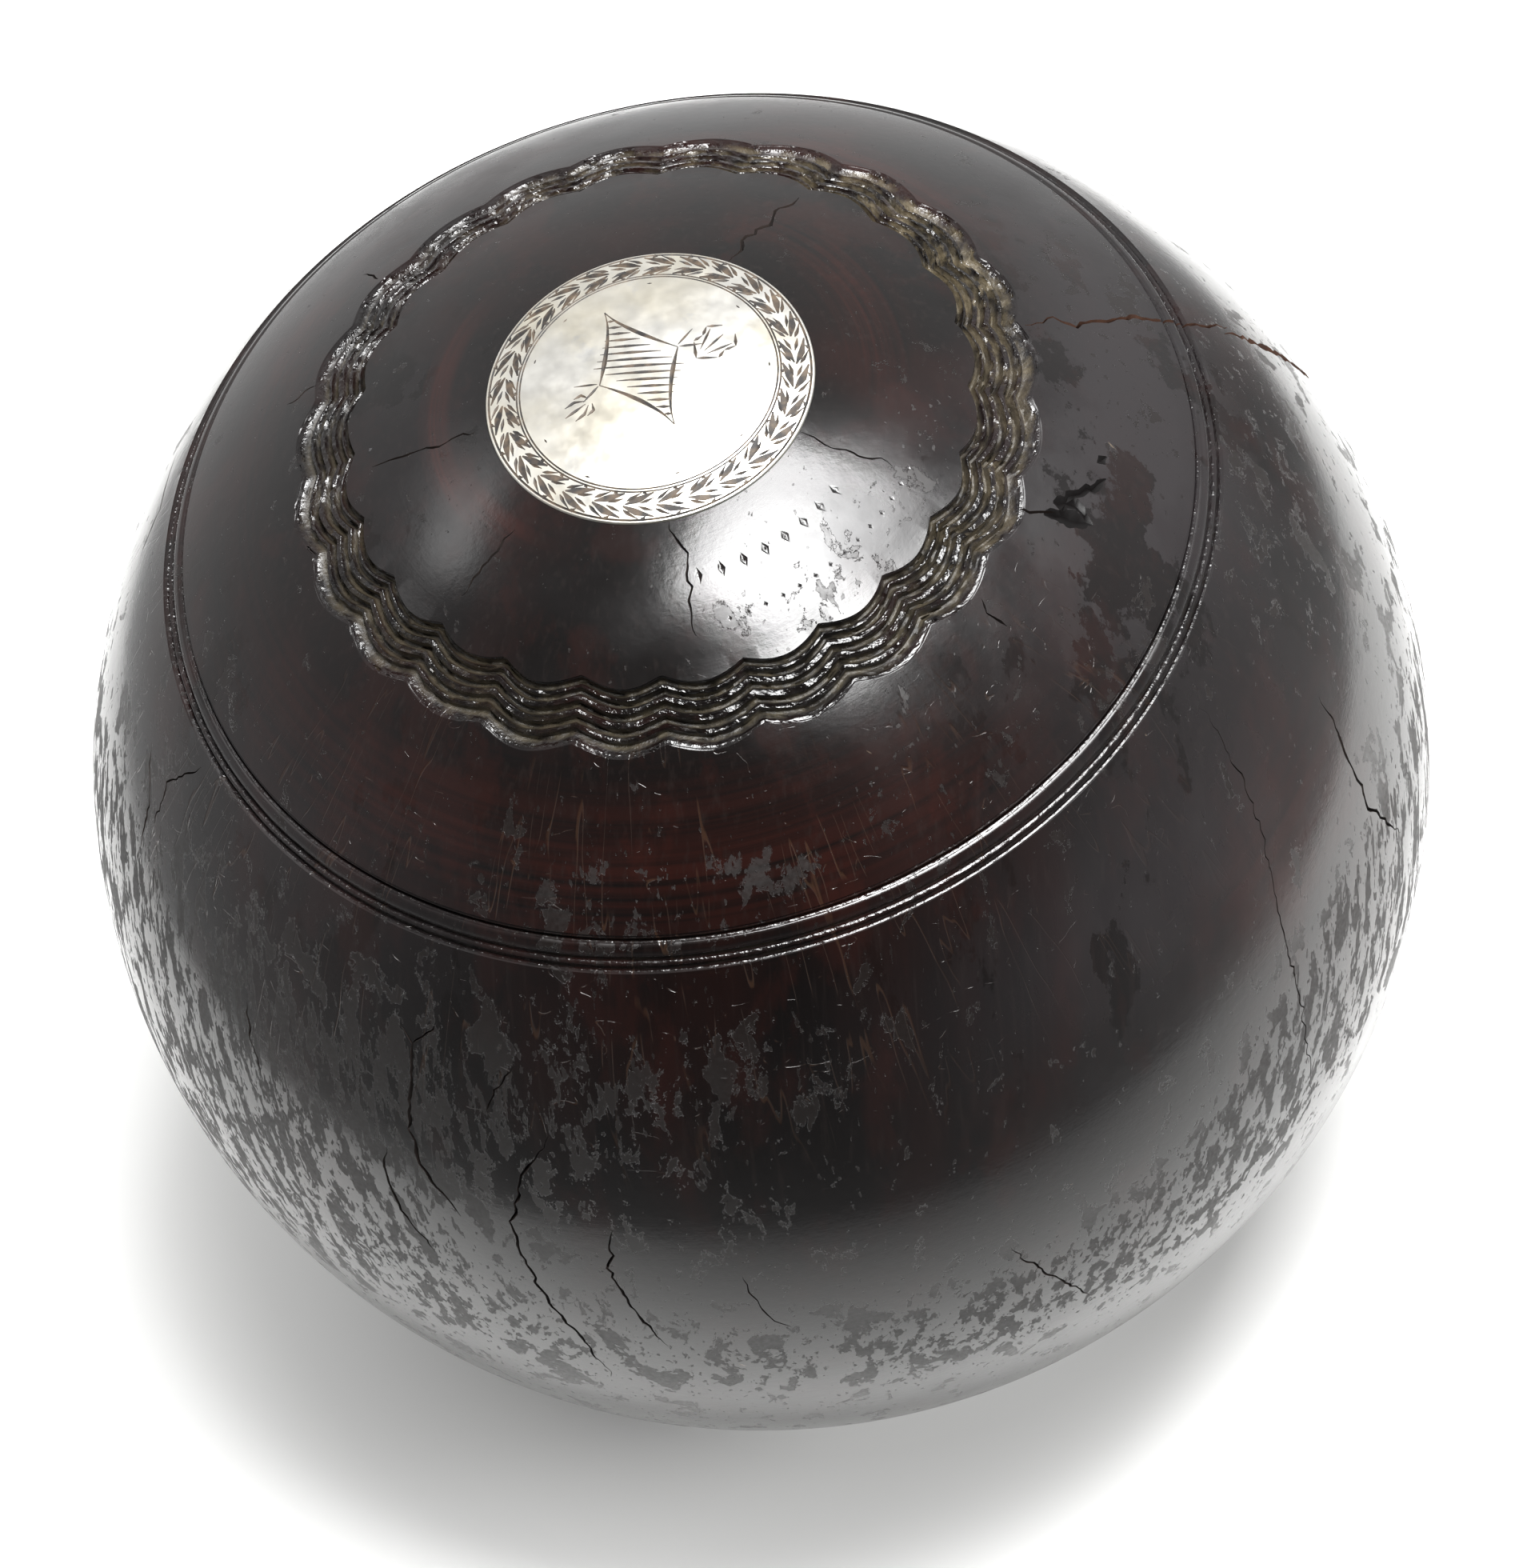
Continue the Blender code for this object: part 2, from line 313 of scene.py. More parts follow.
class Cutters:
    """A collection of closed solids to be taken out of one object."""

    def __init__(self, name, material):
        self.collection = bpy.data.collections.new(name)
        bpy.context.scene.collection.children.link(self.collection)
        self.material = material

    def add(self, bm, material=None):
        """Adds a solid; the walls of its cut get the material, or else the collection's."""
        bmesh.ops.recalc_face_normals(bm, faces=bm.faces)
        mesh = bpy.data.meshes.new("cutter")
        bm.to_mesh(mesh)
        bm.free()
        mesh.materials.append(material or self.material)
        self.collection.objects.link(bpy.data.objects.new("cutter", mesh))

    def cut(self, obj):
        """Takes the solids out of obj for good, and then removes them."""
        modifier = obj.modifiers.new("cuts", "BOOLEAN")
        modifier.operation = "DIFFERENCE"
        modifier.operand_type = "COLLECTION"
        modifier.collection = self.collection
        modifier.solver = "MANIFOLD"
        modifier.material_mode = "TRANSFER"
        graph = bpy.context.evaluated_depsgraph_get()
        mesh = bpy.data.meshes.new_from_object(obj.evaluated_get(graph))
        obj.modifiers.clear()
        old, obj.data = obj.data, mesh
        bpy.data.meshes.remove(old)
        for cutter in list(self.collection.objects):
            bpy.data.objects.remove(cutter)
        bpy.data.collections.remove(self.collection)


def gouge(bm, places, widths, depths, lift=0.4 * MM, closed=False):
    """Adds a V-shaped cutter along (point, normal) places, as wide as asked at the surface."""
    last = len(places) - 1
    rows = []
    for index, (point, normal) in enumerate(places):
        before = places[last if closed and index == 0 else max(index - 1, 0)][0]
        after = places[0 if closed and index == last else min(index + 1, last)][0]
        across = (after - before).cross(normal).normalized()
        across *= widths[index] / 2 * (depths[index] + lift) / depths[index]
        top = point + normal * lift
        corners = (top + across, top - across, point - normal * depths[index])
        rows.append([bm.verts.new(corner) for corner in corners])
    for one, two in zip(rows, rows[1:] + rows[:1] if closed else rows[1:]):
        for a, b in ((0, 1), (1, 2), (2, 0)):
            bm.faces.new((one[a], one[b], two[b], two[a]))
    if not closed:
        bm.faces.new(rows[0])
        bm.faces.new(rows[-1][::-1])


def on_wood(azimuth, colatitude):
    """The uncarved wood's point at an azimuth and colatitude, and its normal there."""
    side = OPEN_SIDE if colatitude < 90 else BIAS_SIDE
    polar = math.radians(min(colatitude, 180 - colatitude))
    reach, centre = RADIUS, 0.0
    for _ in range(6):
        radius = reach * math.sin(polar)
        if radius < RING_OUTER and polar < 1:
            reach = math.hypot(radius, surface_height(side, radius))
            centre = float(arcs(side, radius)[0])
    radius, height = reach * math.sin(polar), reach * math.cos(polar)
    turn = math.radians(azimuth)
    flat = Vector((math.cos(turn), math.sin(turn), 0)) * radius
    normal = flat + Vector((0, 0, side.up * (height - centre)))
    return flat + Vector((0, 0, MIDDLE + side.up * height)), normal.normalized()


def crack(route, width, depth, seed):
    """A ragged cutter through (azimuth, colatitude) places, tapering to both ends."""
    spans = []
    for (a0, c0), (a1, c1) in zip(route, route[1:]):
        around = math.radians(a1 - a0) * math.sin(math.radians(c0 + c1) / 2)
        length = math.hypot(around, math.radians(c1 - c0)) * RADIUS
        count = max(int(length / CRACK_STEP), 2)
        spans += [(a0 + (a1 - a0) * i / count, c0 + (c1 - c0) * i / count) for i in range(count)]
    spans.append(route[-1])
    places, widths, depths = [], [], []
    for index, (azimuth, colatitude) in enumerate(spans):
        along = index / (len(spans) - 1)
        step = Vector((index * 0.40, seed * 1.7, 0.5))
        wobble = 0.5 * MM * (noise.noise(step) + 0.6 * noise.noise(step * 2.3))
        wobble = math.degrees(wobble / RADIUS) / max(math.sin(math.radians(colatitude)), 0.2)
        places.append(on_wood(azimuth + wobble, colatitude))
        taper = min(1.0, 0.15 + 5.0 * along, 0.15 + 5.0 * (1 - along))
        widths.append(width * MM * taper * (1 + 0.7 * noise.noise(step * 1.4)))
        depths.append(depth * MM * taper)
    bm = bmesh.new()
    gouge(bm, places, widths, depths)
    return bm


CRACKS = (   # (azimuth, colatitude) route, then width and depth in mm
    (((46, 14), (47, 17), (45, 20), (46, 22), (45, 25)), 0.34, 0.8),
    (((-1, 33), (1, 36), (0, 38), (2, 42), (3, 46), (4, 51), (6, 57)), 0.36, 1.2),
    (((5, 56), (6, 61), (7, 66), (10, 76), (12, 86), (13, 94)), 0.80, 2.4),
    (((170, 25), (171, 22), (173, 19), (174, 15)), 0.20, 0.5),
    (((210, 24), (211, 21), (212, 17)), 0.20, 0.5),
    (((261, 14), (264, 17), (263, 21), (262, 24)), 0.22, 0.6),
    (((318, 14), (319, 18), (321, 22)), 0.16, 0.4),
    (((324, 32.5), (325.5, 34.5), (327, 36)), 0.30, 0.5),
    (((308, 34), (307, 35), (308, 37)), 0.20, 0.5),
    (((125, 34), (124, 37)), 0.20, 0.4),
    (((147, 33), (149, 36)), 0.20, 0.4),
    (((181, 57), (183, 59), (185, 61), (186, 66)), 0.26, 0.7),
    (((190, 52), (186, 57), (187, 62)), 0.24, 0.6),
    (((146, 55), (154, 54), (158, 57)), 0.26, 0.6),
    (((206, 66), (207, 69), (209, 73)), 0.22, 0.6),
    (((224, 59), (225.6, 60.5), (225.5, 66), (225.7, 69), (227, 73), (230, 77)), 0.36, 0.9),
    (((227.5, 58), (225.6, 60.5)), 0.24, 0.6),
    (((223, 72), (223, 75), (224, 79), (227, 83)), 0.26, 0.6),
    (((236, 60), (234, 63), (233, 65)), 0.20, 0.5),
    (((240, 65), (236, 71), (235, 76), (235.5, 81), (237, 86), (239, 91), (240, 98)), 0.28, 0.8),
    (((244, 75), (243, 80), (244, 85), (246, 91)), 0.26, 0.6),
    (((254, 81), (255, 86), (257, 89)), 0.16, 0.4),
    (((276, 86), (279, 93), (282, 100)), 0.22, 0.5),
    (((317, 54), (315, 62), (312, 69), (310, 74), (308, 84), (307, 98)), 0.15, 0.4),
    (((328, 66), (326, 72), (325, 78), (328, 86)), 0.32, 0.8),
    (((62, 50), (66, 60), (64, 72), (68, 84)), 0.30, 0.8),
    (((112, 58), (110, 70), (113, 82), (111, 95)), 0.26, 0.7),
    (((150, 100), (153, 112), (150, 124)), 0.30, 0.8),
    (((20, 112), (17, 120), (19, 133)), 0.30, 0.9),
    (((285, 122), (288, 134), (284, 150), (287, 162)), 0.28, 0.7),
)


CHIPS = (   # the same, for dark hollows that splinters have left beside the carved band
    (((325.6, 35.0), (327.5, 36.6), (327, 38.0), (328, 39.2)), 1.7, 0.40),
    (((327.8, 35.4), (329.4, 36.8), (328.6, 38.4)), 1.5, 0.35),
    (((327, 36.4), (330, 36.6), (333, 38.4), (335, 39.4)), 0.9, 0.30),
    (((337, 38.4), (338.5, 39.2)), 0.9, 0.25),
)


def punch(bm, colatitude, azimuth, length, width, depth):
    """Adds a pyramid cutter, for one lozenge struck into the open side's dome."""
    point, normal = on_wood(azimuth, colatitude)
    turn = math.radians(azimuth)
    along = Vector((math.cos(turn), math.sin(turn), 0))
    along = (along - normal * along.dot(normal)).normalized()
    across = normal.cross(along)
    scale = (depth + 0.2 * MM) / depth / 2
    rim = [point + normal * 0.2 * MM + way * reach * scale for way, reach in
           ((along, length), (across, width), (-along, length), (-across, width))]
    tip = bm.verts.new(point - normal * depth)
    rim = [bm.verts.new(corner) for corner in rim]
    bm.faces.new(rim)
    for a, b in zip(rim, rim[1:] + rim[:1]):
        bm.faces.new((a, tip, b))


def struck_marks():
    """Two arcs of plain lozenges, where a maker would strike a stamp."""
    bm = bmesh.new()
    upper, lower = math.degrees(math.asin(0.327)), math.degrees(math.asin(0.395))
    for azimuth in range(266, 309, 6):
        punch(bm, upper, azimuth, 1.7 * MM, 0.8 * MM, 0.22 * MM)
    for azimuth in range(270, 325, 4):
        punch(bm, lower, azimuth, 0.7 * MM, 0.5 * MM, 0.10 * MM)
    return bm


def pin_hole(node):
    """A drill for one pin, as wide as the pin and its gap."""
    low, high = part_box(node)
    radius = (high.x - low.x) / 2 + PIN_GAP
    bm = bmesh.new()
    bmesh.ops.create_cone(
        bm, cap_ends=True, segments=24, radius1=radius, radius2=radius,
        depth=high.z - low.z + 4 * PIN_GAP, matrix=Matrix.Translation((low + high) / 2),
    )
    return bm


# ---------------------------------------------------------------- silver

BORDER_REPEATS = 28
PLATE_FACETS = 144
PLATE_TIP_RADIUS = 0.6 * MM             # of the fan of facets at a disc's middle
FLAT_CENTRE = -1e6                      # an arc centred this far down is as good as flat
INNER_CIRCLES = (0.1850, 0.1893)        # shares of the bowl's radius
OUTER_CIRCLE = 0.2310


def on_plate(side, x, y):
    """The point of a disc's face over (x, y), and its normal there."""
    radius = math.hypot(x, y)
    centre = float(arc(side.disc_edge, side.band_inner)[0]) if side.domed else FLAT_CENTRE
    height = face_height(side, radius)
    normal = Vector((x, y, side.up * (height - PLATE_PROUD - centre))).normalized()
    return Vector((x, y, MIDDLE + side.up * height)), normal


def circle(side, share, width, depth):
    """A cutter for a line engraved all round a disc."""
    radius = share * RADIUS
    bm = bmesh.new()
    angles = ring_angles(PLATE_FACETS)
    places = [on_plate(side, radius * math.cos(a), radius * math.sin(a)) for a in angles]
    widths, depths = [width] * PLATE_FACETS, [depth] * PLATE_FACETS
    gouge(bm, places, widths, depths, 0.1 * MM, closed=True)
    return bm


def stroke(bm, side, route, width, depth=0.09 * MM, steps=6, swell=0.35):
    """Adds a cutter for a tapered stroke through (x, y) places; swell is its widest point."""
    route = [Vector(place) for place in route]
    places, widths = [], []
    for index in range(steps + 1):
        along = index / steps
        at = along * (len(route) - 1)
        leg = min(int(at), len(route) - 2)
        x, y = route[leg].lerp(route[leg + 1], at - leg)
        places.append(on_plate(side, x, y))
        rise = along / swell if along < swell else (1 - along) / (1 - swell)
        widths.append(width * max(rise, 0.12) ** 0.7)
    depths = [depth * max(one / width, 0.25) for one in widths]
    gouge(bm, places, widths, depths, 0.1 * MM)


def polar(share, degrees):
    angle = math.radians(degrees)
    return (share * RADIUS * math.cos(angle), share * RADIUS * math.sin(angle))


def leaf_border(cutters, side):
    """A running wreath: leaves spring from a middle line towards both border lines."""
    pitch = 360 / BORDER_REPEATS
    kinds = (   # (share of radius, share of pitch) from and to, width in mm, widest point
        ((0.2104, 0.00), (0.2196, 0.42), (0.2276, 0.92), 0.70, 0.45),
        ((0.2080, 0.06), (0.2004, 0.50), (0.1916, 0.98), 0.70, 0.45),
        ((0.2160, 0.00), (0.2224, 0.20), (0.2296, 0.46), 0.40, 0.30),
        ((0.2030, 0.08), (0.1976, 0.28), (0.1908, 0.54), 0.40, 0.30),
        ((0.2110, 0.48), (0.2146, 0.68), (0.2186, 0.92), 0.36, 0.50),
        ((0.2064, 0.52), (0.2036, 0.72), (0.1998, 0.98), 0.36, 0.50),
        ((0.2316, 0.56), (0.2290, 0.62), (0.2256, 0.68), 0.50, 0.10),
        ((0.1893, 0.64), (0.1912, 0.70), (0.1936, 0.76), 0.46, 0.10),
    )
    for *route, width, swell in kinds:
        bm = bmesh.new()
        for index in range(BORDER_REPEATS):
            uneven = 0.10 * noise.noise(Vector((index * 3.1, width * 50, swell)))
            places = [polar(share, (index + turn + uneven) * pitch) for share, turn in route]
            stroke(bm, side, places, width * MM * (1 + 2 * uneven), swell=swell)
        cutters.add(bm)


def sprig(bm, side, root, heading, spread, lengths, width):
    """Adds a fan of strokes that swell away from a root."""
    for index, length in enumerate(lengths):
        turn = math.radians(heading + spread * (index - (len(lengths) - 1) / 2))
        way = Vector((math.cos(turn), math.sin(turn)))
        bend = Vector((-way.y, way.x)) * length * 0.10 * (index - (len(lengths) - 1) / 2)
        start = Vector(root) + way * length * 0.30
        route = (start, Vector(root) + way * length * 0.65 + bend, Vector(root) + way * length)
        stroke(bm, side, route, width, swell=0.6)


def hatched_device(cutters, side):
    """A plain hatched lozenge, drawn in hollow curves with a tendril at each waist."""
    tilt = math.radians(-80)
    along = Vector((math.cos(tilt), math.sin(tilt)))
    across = Vector((-along.y, along.x))
    middle = Vector((-0.006, 0.020)) * RADIUS
    long, wide = 0.118 * RADIUS, 0.058 * RADIUS

    def half_width(share):
        return wide * (1 - abs(share)) ** 1.5 + 0.004 * RADIUS * (1 - abs(share))

    for edge in (-1, 1):
        for end in (-1, 1):
            shares = [end * i / 8 for i in range(9)]
            route = [middle + along * long * s + across * edge * half_width(s) for s in shares]
            bm = bmesh.new()
            stroke(bm, side, route, 0.46 * MM, steps=12, swell=0.25 if edge == end else 0.45)
            cutters.add(bm)
    bm = bmesh.new()
    for index in range(-7, 8):
        share = index / 8.5
        reach = half_width(share) * 0.92
        lean = along * reach * 0.55
        spot = middle + along * long * share
        stroke(bm, side, (spot - across * reach - lean, spot + across * reach + lean),
               0.34 * MM, steps=4, swell=0.5)
    cutters.add(bm)
    bm = bmesh.new()
    for edge in (-1, 1):
        root = middle + across * edge * (wide + 0.006 * RADIUS)
        tip = root + across * edge * 0.030 * RADIUS
        stroke(bm, side, (root, tip + along * 0.012 * RADIUS), 0.34 * MM, steps=4)
        stroke(bm, side, (root - along * 0.004 * RADIUS, tip - along * 0.020 * RADIUS),
               0.28 * MM, steps=4)
    cutters.add(bm)


def leaf(bm, side, root, heading, length):
    """Adds a lobed leaf outline with veins."""
    turn = math.radians(heading)
    along = Vector((math.cos(turn), math.sin(turn)))
    across = Vector((-along.y, along.x))
    lobes = ((0.00, 0.00), (0.30, 0.34), (0.52, 0.30), (0.74, 0.40), (0.98, 0.16))
    for edge in (-1, 1):
        outline = [Vector(root) + (along * x + across * edge * y) * length for x, y in lobes]
        for one, two in zip(outline, outline[1:]):
            stroke(bm, side, (one, two.lerp(one, 0.06)), 0.34 * MM, steps=3)
    for turn_by in (-22, 0, 22):
        sprig(bm, side, root, heading + turn_by, 0, (length * 0.8,), 0.28 * MM)


def worn_nicks(bm, side):
    """Adds small nicks just inside the inner circles."""
    for index in range(9):
        place = 0.172 + 0.008 * noise.noise(Vector((index * 1.9, 5, 0)))
        angle = 25 + 40 * index + 25 * noise.noise(Vector((index * 2.7, 9, 0)))
        stroke(bm, side, (polar(place, angle), polar(place, angle + 2.4)), 0.22 * MM, steps=2)


def make_plate(node, side, silver, oxide):
    """One silver disc: its face, chamfered rim and back as one engraved solid."""
    edge = side.disc_edge[0]
    rings = []

    def add(radius, below):
        height = face_height(side, radius) - below
        rings.append(level_ring(radius, height, PLATE_FACETS, side.up))

    for radius in np.linspace(PLATE_TIP_RADIUS, edge - PLATE_CHAMFER, 12):
        add(radius, 0)
    add(edge, PLATE_CHAMFER)
    for radius in np.linspace(edge, PLATE_TIP_RADIUS, 6):
        add(radius, PLATE_THICKNESS)
    tips = [on_plate(side, 0, 0)[0] - Vector((0, 0, side.up * sunk))
            for sunk in (0, PLATE_THICKNESS)]
    if side.up < 0:
        rings.reverse()
        tips.reverse()
    plate = make_object(node + "_engraved", skin(node, rings, *tips), silver)
    cutters = Cutters("engraving", oxide)
    for share in INNER_CIRCLES:
        cutters.add(circle(side, share * edge / OPEN_SIDE.disc_edge[0], 0.17 * MM, 0.06 * MM))
    if side.domed:
        cutters.add(circle(side, OUTER_CIRCLE, 0.22 * MM, 0.07 * MM))
        leaf_border(cutters, side)
        hatched_device(cutters, side)
        bm = bmesh.new()
        sprig(bm, side, Vector((-0.080, -0.008)) * RADIUS, 197, 19,
              [length * RADIUS for length in (0.030, 0.044, 0.050, 0.044, 0.030)], 0.36 * MM)
        worn_nicks(bm, side)
        cutters.add(bm)
        bm = bmesh.new()
        leaf(bm, side, Vector((0.074, 0.002)) * RADIUS, 32, 0.070 * RADIUS)
        cutters.add(bm)
    cutters.cut(plate)
    points = vertex_array(plate.data)
    radius = np.hypot(points[:, 0], points[:, 1])
    heights = np.array([face_height(side, min(r, edge)) for r in radius])
    exact = np.array([on_plate(side, x, y)[1] for x, y in points[:, :2]])
    below = heights - (points[:, 2] - MIDDLE) * side.up
    smooth_as_turned(plate.data, below, exact, 0.01 * MM)
    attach(plate, "root")
    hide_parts(node)


# ---------------------------------------------------------------- the wood

def vertex_array(mesh):
    points = np.empty(len(mesh.vertices) * 3)
    mesh.vertices.foreach_get("co", points)
    return points.reshape(-1, 3)


def turned_shape(points):
    """For each point, how deep it lies under the uncarved surface, and that normal."""
    rel = points - [0, 0, MIDDLE]
    radius = np.hypot(rel[:, 0], rel[:, 1])
    depth = RADIUS - np.linalg.norm(rel, axis=1)
    centres = np.zeros(len(points))
    for side in (OPEN_SIDE, BIAS_SIDE):
        on_side = (rel[:, 2] * side.up > 0) & (radius < RING_OUTER)
        centre, reach = arcs(side, radius)
        far = np.hypot(radius, rel[:, 2] * side.up - centre)
        depth = np.where(on_side, reach - far, depth)
        centres = np.where(on_side, centre * side.up, centres)
    normals = rel - np.stack([np.zeros(len(rel)), np.zeros(len(rel)), centres], -1)
    return depth, normals / np.linalg.norm(normals, axis=1)[:, None]


def smooth_as_turned(mesh, depth, exact, shallow):
    """Gives faces that lie in the turned surface its exact normals."""
    mesh.shade_smooth()
    mesh.set_sharp_from_angle(angle=math.radians(40))
    corners = np.empty(len(mesh.loops), dtype=np.int32)
    mesh.loops.foreach_get("vertex_index", corners)
    facing = np.empty(len(mesh.polygons) * 3)
    mesh.polygons.foreach_get("normal", facing)
    sizes = np.empty(len(mesh.polygons), dtype=np.int32)
    mesh.polygons.foreach_get("loop_total", sizes)
    facing = np.repeat(facing.reshape(-1, 3), sizes, axis=0)
    wanted = exact[corners]
    plain = np.sum(facing * wanted, axis=1) > math.cos(math.radians(4))
    plain &= np.abs(depth[corners]) < shallow
    wanted[~plain] = 0
    mesh.normals_split_custom_set([tuple(normal) for normal in wanted])


def add_attribute(mesh, name, values):
    layer = mesh.attributes.new(name, "FLOAT", "POINT")
    layer.data.foreach_set("value", np.asarray(values, dtype=np.float32))


def spots(points, places):
    """Sum of soft spots: (azimuth, colatitude, their spreads, strength), clipped to 1."""
    rel = points - [0, 0, MIDDLE]
    azimuth = np.degrees(np.arctan2(rel[:, 1], rel[:, 0]))
    colatitude = np.degrees(np.arccos(rel[:, 2] / np.linalg.norm(rel, axis=1)))
    total = np.zeros(len(points))
    for at, down, wide, tall, strength in places:
        turn = (azimuth - at + 180) % 360 - 180
        total += strength * np.exp(-(turn / wide) ** 2 - ((colatitude - down) / tall) ** 2)
    return np.clip(total, 0, 1)


FLAKING = (     # where the old varnish has worn off in flakes
    (215, 76, 32, 22, 1.0), (180, 80, 25, 25, 0.8), (258, 94, 40, 10, 0.6),
    (314, 86, 16, 8, 1.0), (290, 96, 25, 10, 0.8), (302, 40, 18, 6, 0.4),
    (252, 44, 28, 5, 0.76), (250, 61, 30, 9, 0.62), (5, 62, 14, 7, 0.5),
    (335, 24, 20, 3, 0.8), (295, 25, 25, 3, 0.6), (0, 40, 22, 6, 0.4),
    (60, 96, 60, 22, 0.8), (140, 100, 45, 30, 0.8), (220, 125, 70, 18, 0.7),
    (20, 130, 60, 20, 0.6), (343, 58, 12, 10, 0.62), (325, 90, 22, 10, 0.9), (352, 80, 20, 14, 0.6),
    (15, 48, 20, 6, 0.45), (318, 50, 16, 6, 0.45), (190, 45, 16, 6, 0.35),
)
SATIN = (       # where handling has dulled the varnish evenly
    (336, 42, 28, 12, 1.0), (10, 42, 25, 8, 0.6), (300, 62, 24, 9, 0.7),
    (305, 22, 30, 5, 0.5), (200, 50, 30, 12, 0.5), (110, 40, 40, 10, 0.4), (170, 21, 40, 8, 0.4),
)
WARMTH = (      # where the heartwood shows red
    (166, 18.4, 26, 0.6, 2.4), (202, 17.5, 16, 0.8, 0.7), (2, 19, 22, 2.5, 0.4),
    (40, 34, 25, 2, 0.5), (30, 20, 20, 2, 0.3),
    (255, 42, 40, 6, 0.35), (75, 30, 30, 3, 0.3), (318, 70, 14, 9, 0.3),
    (130, 40, 30, 4, 0.3), (200, 42, 25, 5, 0.2), (90, 150, 60, 12, 0.7),
)
GRIME = (       # where pale dirt fills the carving
    (20, 30, 40, 6, 1.0), (325, 31, 22, 5, 0.6), (80, 29, 30, 6, 0.5), (200, 30, 40, 6, 0.3),
)
CRAZING = (     # where fine cracks craze the surface
    (262, 42, 42, 8, 1.0), (255, 58, 36, 9, 1.0), (215, 50, 26, 14, 0.7),
    (190, 62, 22, 12, 0.7), (310, 48, 16, 12, 0.4), (100, 60, 60, 12, 0.5),
    (150, 130, 80, 14, 0.6),
)


def make_wood(wood, raw_wood, old_crack, dark_wood):
    """The turned wood, with its cracks, chips, struck marks and pin holes cut into it."""
    rings = seat_rings(OPEN_SIDE) + side_rings(OPEN_SIDE) + running_rings()
    rings += (seat_rings(BIAS_SIDE) + side_rings(BIAS_SIDE))[::-1]
    tips = [rings[0].mean(axis=0) - [0, 0, HOLE_DEPTH],
            rings[-1].mean(axis=0) + [0, 0, HOLE_DEPTH]]
    body = make_object("turned_wood", skin("turned_wood", rings, *tips), wood)
    cutters = Cutters("wood_cuts", wood)
    for seed, (route, width, depth) in enumerate(CRACKS):
        cutters.add(crack(route, width, depth, seed), raw_wood if depth > RAW_WOOD_DEPTH else old_crack)
    for seed, (route, width, depth) in enumerate(CHIPS):
        cutters.add(crack(route, width, depth, seed), dark_wood)
    cutters.add(struck_marks())
    for node in frame["nodes"]:
        if "_pin_" in node:
            cutters.add(pin_hole(node))
    cutters.cut(body)
    points = vertex_array(body.data)
    depth, exact = turned_shape(points)
    add_attribute(body.data, "depth", np.clip(depth / MM, 0, 1))
    for name, places in (("flaking", FLAKING), ("satin", SATIN), ("warmth", WARMTH),
                         ("crazing", CRAZING), ("grime", GRIME)):
        add_attribute(body.data, name, spots(points, places))
    smooth_as_turned(body.data, depth, exact, 0.07 * MM)
    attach(body, "root")
    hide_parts("bowl_body")


# ---------------------------------------------------------------- materials

